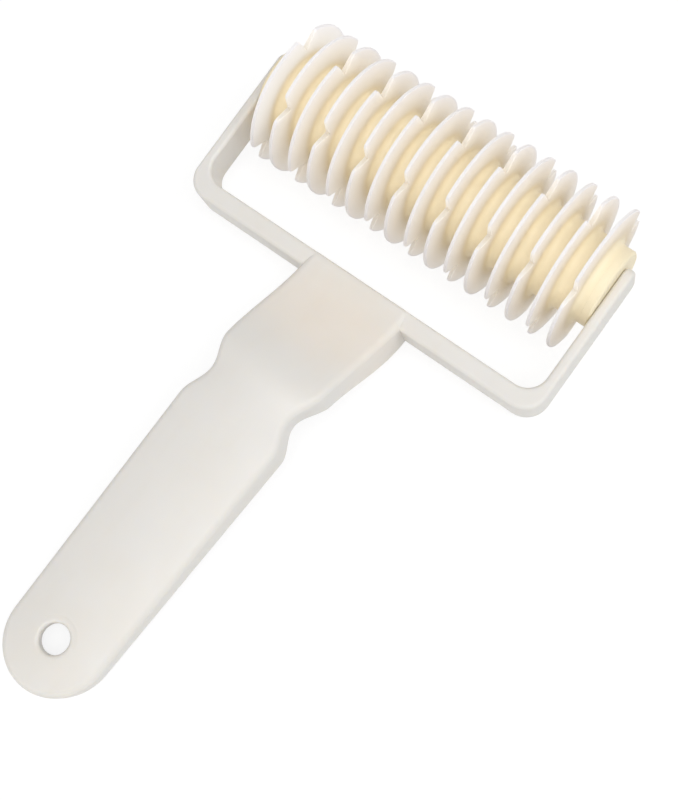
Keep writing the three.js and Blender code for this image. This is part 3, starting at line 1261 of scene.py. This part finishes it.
    def build(self, finish: bpy.types.Material, shaft_finish: bpy.types.Material) -> list[bpy.types.Object]:
        """Builds every disc and collar, and dresses the shaft.

        Args:
            finish: The material of the discs and the collars.
            shaft_finish: The material of the shaft.

        Returns:
            The new pieces.
        """
        made = []
        pattern = object_of(self.disc(), "disc_pattern")
        for i in range(self.disc_count):
            turn = self.third / 2 if i % 2 == 0 else 0.0
            offset = (i - (self.disc_count - 1) / 2) * self.pitch
            number = f"{i + 1:02d}"
            piece = bpy.data.objects.new(f"lattice_disc_{number}", pattern.data.copy())
            bpy.context.scene.collection.objects.link(piece)
            made.append(self._finish_piece(piece, f"cutter_disc_{number}", finish, offset, turn))
        bpy.data.objects.remove(pattern)
        for side in Side:
            word = side.name.lower()
            offset = side.value * (self.collar_outer - self.collar_thickness / 2)
            piece = object_of(self.collar(side), f"plain_collar_{word}")
            made.append(self._finish_piece(piece, f"end_collar_{word}", finish, offset, 0.0))
        shaft = frame["nodes"]["roller_shaft"]
        shaft.data.materials.clear()
        shaft.data.materials.append(shaft_finish)
        return made


@dataclass(frozen=True)
class Lamp:
    """A soft square lamp: its place and side in metres, its power in watts and its colour."""

    name: str
    place: Spot
    size: float
    power: float
    colour: Colour

    def hang(self, aim: Vector) -> None:
        """Hangs the lamp and points it at the tool.

        Args:
            aim: The spot that it points at.
        """
        data = bpy.data.lights.new(self.name, "AREA")
        data.color = linear(self.colour)[:3]
        data.size = self.size
        data.energy = self.power
        lamp = bpy.data.objects.new(self.name, data)
        place = Vector(self.place)
        turned = (aim - place).to_track_quat("-Z", "Y").to_matrix().to_4x4()
        lamp.matrix_world = Matrix.Translation(place) @ turned
        bpy.context.scene.collection.objects.link(lamp)


@dataclass(frozen=True)
class Studio:
    """A pale floor, soft light and a camera at the photograph's viewing angle."""

    photo_width: int = 679
    focal_pixels: float = 1324.25
    sensor: float = 36.0
    nearest: float = 0.01
    farthest: float = 20.0
    eye: Spot = (0.10922, -0.11402, 0.33091)
    sight: Spot = (-0.2622, 0.3479, -0.9001)
    right: Spot = (0.7899, 0.6132, 0.0069)
    floor_size: float = 6.0
    floor_paint: Colour = (240, 240, 240)
    floor_shade: Tone = (0.22, 0.22, 0.22, 1.0)
    floor_glow: float = 0.82
    sky_tone: Tone = (1.0, 0.995, 0.985, 1.0)
    sky_strength: float = 0.465
    seen_sky: float = 0.93
    aim: Spot = (0.0, 0.02, 0.02)
    lamps: tuple[Lamp, ...] = (
        Lamp("front_lamp", place=(0.3, -0.36, 1.06), size=0.7, power=5.7, colour=(252, 253, 255)),
        Lamp("key_lamp", place=(0.72, 0.2, 0.76), size=0.7, power=2.9, colour=(249, 252, 255)),
        Lamp("fill_lamp", place=(-0.2, -1.15, 0.4), size=0.9, power=2.2, colour=(255, 252, 247)),
    )

    def camera(self) -> None:
        """Places the camera that the photograph's perspective gives."""
        data = bpy.data.cameras.new("photo_camera")
        data.sensor_fit = "HORIZONTAL"
        data.sensor_width = self.sensor
        data.lens = self.focal_pixels / self.photo_width * self.sensor
        data.clip_start = self.nearest
        data.clip_end = self.farthest
        eye = bpy.data.objects.new("photo_camera", data)
        back = -Vector(self.sight).normalized()
        right = Vector(self.right)
        right = (right - back * right.dot(back)).normalized()
        up = back.cross(right)
        turned = Matrix((right, up, back)).transposed().to_4x4()
        eye.matrix_world = Matrix.Translation(Vector(self.eye)) @ turned
        bpy.context.scene.collection.objects.link(eye)
        bpy.context.scene.camera = eye

    def world(self) -> None:
        """Makes an even pale sky that shows as nearly white."""
        world = bpy.data.worlds.new("studio_sky")
        bpy.context.scene.world = world
        world.use_nodes = True
        bench = Bench(world.node_tree)
        light = {"Color": self.sky_tone, "Strength": self.sky_strength}
        sky = bench.out("ShaderNodeBackground", 0, None, light)
        white = bench.out("ShaderNodeBackground", 0, None, {"Color": WHITE, "Strength": self.seen_sky})
        bench.node("ShaderNodeOutputWorld", None, {"Surface": bench.blend(bench.seen(), sky, white)})

    def floor(self) -> None:
        """Lays a plain pale floor that keeps the tool's soft shadow."""
        mesh = bmesh.new()
        bmesh.ops.create_grid(mesh, x_segments=1, y_segments=1, size=self.floor_size / 2)
        floor = object_of(mesh, "studio_floor")
        made = bpy.data.materials.new("floor_paint")
        made.use_nodes = True
        bench = Bench(made.node_tree)
        matt = bench.out("ShaderNodeBsdfDiffuse", 0, None, {"Color": linear(self.floor_paint)})
        shade = bench.out("ShaderNodeBsdfDiffuse", 0, None, {"Color": self.floor_shade})
        bright = bench.out("ShaderNodeEmission", 0, None, {"Color": WHITE, "Strength": self.floor_glow})
        shown = bench.out("ShaderNodeAddShader", 0, None, {0: shade, 1: bright})
        bench.node("ShaderNodeOutputMaterial", None, {"Surface": bench.blend(bench.seen(), matt, shown)})
        floor.data.materials.append(made)
        floor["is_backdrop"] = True

    def build(self) -> None:
        """Sets up the camera, the sky, the floor and the lamps."""
        self.camera()
        self.world()
        self.floor()
        for lamp in self.lamps:
            lamp.hang(Vector(self.aim))
        bpy.context.scene.view_settings.view_transform = "Standard"


def finishes(stance: Stance) -> dict[Slot, bpy.types.Material]:
    """Makes the three plastics.

    Args:
        stance: Gives the roller's axis, from which the discs' tint is measured.

    Returns:
        A material for each slot.
    """
    # The yoke's warm tone round the handle's flare is painted warm light reflected from the roller; the
    # pale tone is the plastic's own.
    yoke = SatinMoulding(
        name="satin_cream_moulding", roughness=0.46, glow=0.35, glow_depth=1.6, grain=0.10,
        pale=(224, 221, 216), warm=(233, 226, 217), centre=Vector((0.0, 0.024, 0.0)),
        weights=Vector((0.6, 1.0, 0.0)), warm_reach=4.0, pale_reach=22.0)
    # Disc tones: the hub's deep warm yellow is partly the plastic's tint and partly painted glow of light
    # bounced in the grooves; the cool tip and rim are painted white light shining through the thin blade
    # edge.
    disc = MilkyBlade(
        name="milky_disc_plastic", roughness=0.45, glow=0.0, glow_depth=1.0, grain=0.08,
        hub=(252, 239, 207), face=(251, 244, 233), tip=(242, 243, 254), rim=(242, 242, 250),
        through=(254, 252, 249), axis=stance.axis, hub_reach=12.3, foot_reach=16.0, face_reach=18.5,
        tip_start=17.5, rim_start=21.2, rim_end=21.5, see_through=0.9, hub_share=0.12, rim_share=0.55)
    shaft = SatinMoulding(
        name="plain_shaft_plastic", roughness=0.45, glow=0.2, glow_depth=1.2, grain=0.12,
        pale=(240, 232, 214), warm=(238, 228, 208), centre=stance.axis,
        weights=ROUND_AXIS, warm_reach=0.0, pale_reach=5.0)
    return {Slot.YOKE: yoke.material(), Slot.DISC: disc.material(), Slot.SHAFT: shaft.material()}


def corners(box: tuple[Vector, Vector]) -> list[list[float]]:
    """A box's two corners as plain lists."""
    return [list(corner) for corner in box]


def main() -> None:
    """Builds the studio and every piece, in order."""
    logging.basicConfig(level=logging.INFO, format="%(message)s")
    cad_box = corners(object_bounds())
    Studio().build()
    stance = Stance.at_rest(HandleYoke.length, HandleYoke.end_rim, Roller.disc_radius)
    plastics = finishes(stance)
    moulding = HandleYoke(stance).build(plastics[Slot.YOKE])
    LOG.info("%s: %d faces", moulding.name, len(moulding.data.polygons))
    for piece in Roller(stance).build(plastics[Slot.DISC], plastics[Slot.SHAFT]):
        LOG.info("%s: %d faces", piece.name, len(piece.data.polygons))
    {"cad": cad_box, "visual": corners(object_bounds())}


if __name__ == "__main__":
    main()
